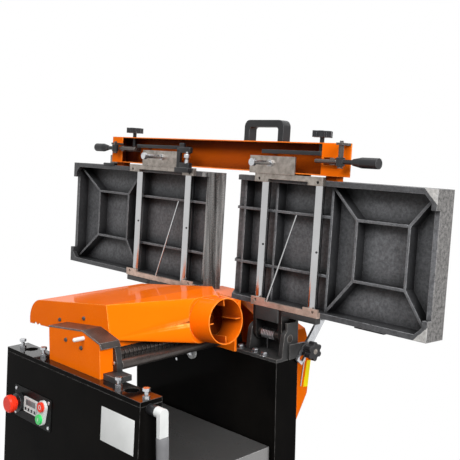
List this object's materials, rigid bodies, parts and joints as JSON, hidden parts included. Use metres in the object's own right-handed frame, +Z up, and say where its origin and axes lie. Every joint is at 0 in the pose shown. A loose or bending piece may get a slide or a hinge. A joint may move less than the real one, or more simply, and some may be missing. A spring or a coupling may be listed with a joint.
{
  "type": "combination planer thicknesser",
  "caption": "Combination planer thicknesser shown in thicknessing mode: ribbed planing tables folded up, orange dust hood over the cutterblock, black cabinet with a rising table.",
  "frame": {"origin": "on the floor, midway between the ends of the columns and between their outer faces at the top", "axes": "+X along the planing tables towards the infeed end, +Y to the rear where the tables are hinged, +Z up"},
  "size_m": [1.24, 0.636, 1.2861],
  "materials": {
    "gloss_black": "gloss paint",
    "panel_black": "satin",
    "orange": "gloss powder coat",
    "charcoal_iron": "painted casting",
    "ground_steel": "ground",
    "warm_steel": "plain rolled",
    "zinc": "zinc plated",
    "black_plastic": "satin",
    "pale_plastic": "satin",
    "red_plastic": "gloss",
    "green_plastic": "gloss",
    "bed_steel": "ground face",
    "belt_rubber": "matte",
    "bar_black": "satin"
  },
  "bodies": {
    "machine": {"base_plate": "gloss_black", "front_column": "gloss_black", "front_cap": "gloss_black", "rear_column": "gloss_black", "lower_cabinet": "gloss_black", "control_plate": "panel_black", "display": "pale_plastic", "estop_collar": "black_plastic", "switch_housing": "pale_plastic", "support_screws": "zinc", "front_cheek": "charcoal_iron", "front_cover": "orange", "bearing_strap": "bar_black", "cover_pin": "pale_plastic", "rear_cheek": "charcoal_iron", "rear_cover": "orange", "cutter_bearings": "ground_steel", "cross_bar": "bar_black", "finger_shaft": "ground_steel", "hood_shell": "orange", "hood_outlet": "orange", "lift_post": "charcoal_iron", "motor": "charcoal_iron", "drive_belt": "belt_rubber", "belt_guard": "orange", "feed_boss": "black_plastic", "hinge_brackets": "charcoal_iron", "hinge_shafts": "ground_steel", "hinge_springs": "zinc", "guide_disc": "pale_plastic"},
    "tables": {"outfeed_table": "charcoal_iron", "infeed_table": "charcoal_iron", "table_shafts": "ground_steel", "front_bars": "warm_steel", "rear_bars": "bar_black", "latch_wires": "warm_steel", "lock_plates": "warm_steel", "lock_pins": "zinc", "channel": "orange", "bridge_handle": "black_plastic", "lever_linkage": "bar_black"},
    "left_lock_lever": {"left_lever": "black_plastic"},
    "right_lock_lever": {"right_lever": "black_plastic"},
    "left_channel_knob": {"left_knob": "black_plastic"},
    "right_channel_knob": {"right_knob": "black_plastic"},
    "stay": {"stay_arm": "zinc"},
    "stay_clamp": {"stay_knob": "black_plastic"},
    "cutter": {"cutterblock": "ground_steel", "cutter_knives": "ground_steel", "cutter_pulley": "charcoal_iron"},
    "motor_rotor": {"motor_pulley": "charcoal_iron"},
    "infeed_feed_roller": {"infeed_roller": "bar_black"},
    "outfeed_feed_roller": {"outfeed_roller": "bar_black"},
    "fingers": {"kickback_fingers": "bar_black"},
    "bed": {"thickness_bed": "bed_steel", "lift_tube": "ground_steel"},
    "feed_handle": {"feed_lever": "pale_plastic"},
    "estop": {"estop_button": "red_plastic"},
    "start": {"start_button": "green_plastic"},
    "stop": {"stop_button": "red_plastic"}
  },
  "joints": [
    {"name": "tables_fold", "type": "hinge", "parent": "machine", "child": "tables", "pos_m": [0, 0.197, 0.798], "axis": [1, 0, 0], "range_deg": [0, 20]},
    {"name": "stay_swing", "type": "hinge", "parent": "tables", "child": "stay", "pos_m": [0.264, 0.29538, 0.83172], "axis": [1, 0, 0], "range_deg": [-2, 1]},
    {"name": "left_lever_turn", "type": "hinge", "parent": "tables", "child": "left_lock_lever", "pos_m": [-0.384, 0.17942, 1.20799], "axis": [0, 0.0645, 0.9979], "range_deg": [0, 60]},
    {"name": "right_lever_turn", "type": "hinge", "parent": "tables", "child": "right_lock_lever", "pos_m": [0.396, 0.17897, 1.201], "axis": [0, -0.0645, -0.9979], "range_deg": [0, 60]},
    {"name": "left_knob_turn", "type": "hinge", "parent": "tables", "child": "left_channel_knob", "pos_m": [-0.357, 0.22539, 1.23708], "axis": [0, 0.0645, 0.9979], "continuous": true},
    {"name": "right_knob_turn", "type": "hinge", "parent": "tables", "child": "right_channel_knob", "pos_m": [0.308, 0.22539, 1.23708], "axis": [0, 0.0645, 0.9979], "continuous": true},
    {"name": "stay_knob_turn", "type": "hinge", "parent": "machine", "child": "stay_clamp", "pos_m": [0.277, 0.241, 0.768], "axis": [1, 0, 0], "continuous": true},
    {"name": "cutter_spin", "type": "hinge", "parent": "machine", "child": "cutter", "pos_m": [-0.005, 0, 0.81], "axis": [0, 1, 0], "continuous": true},
    {"name": "motor_spin", "type": "hinge", "parent": "machine", "child": "motor_rotor", "pos_m": [0.125, 0, 0.19], "axis": [0, 1, 0], "continuous": true},
    {"name": "infeed_roller_spin", "type": "hinge", "parent": "machine", "child": "infeed_feed_roller", "pos_m": [0.047, 0, 0.787], "axis": [0, 1, 0], "continuous": true},
    {"name": "outfeed_roller_spin", "type": "hinge", "parent": "machine", "child": "outfeed_feed_roller", "pos_m": [-0.057, 0, 0.787], "axis": [0, 1, 0], "continuous": true},
    {"name": "fingers_swing", "type": "hinge", "parent": "machine", "child": "fingers", "pos_m": [0.071, 0, 0.789], "axis": [0, 1, 0], "range_deg": [0, 30]},
    {"name": "bed_lift", "type": "slide", "parent": "machine", "child": "bed", "axis": [0, 0, 1], "range_m": [0, 0.2]},
    {"name": "feed_lever_turn", "type": "hinge", "parent": "machine", "child": "feed_handle", "pos_m": [0.28, -0.2015, 0.733], "axis": [1, 0, 0], "range_deg": [0, 55]},
    {"name": "estop_press", "type": "slide", "parent": "machine", "child": "estop", "axis": [0, 0.9981, -0.0612], "range_m": [0, 0.005], "stiffness_N_per_m": 800},
    {"name": "start_press", "type": "slide", "parent": "machine", "child": "start", "axis": [0, 0.9981, -0.0612], "range_m": [0, 0.003], "stiffness_N_per_m": 600},
    {"name": "stop_press", "type": "slide", "parent": "machine", "child": "stop", "axis": [0, 0.9981, -0.0612], "range_m": [0, 0.003], "stiffness_N_per_m": 600}
  ],
  "couplings": [
    {"joint": "motor_spin", "follows": "cutter_spin", "ratio": 0.5054},
    {"joint": "outfeed_roller_spin", "follows": "infeed_roller_spin", "ratio": 1},
    {"joint": "stay_swing", "follows": "tables_fold", "ratio": -0.035}
  ]
}
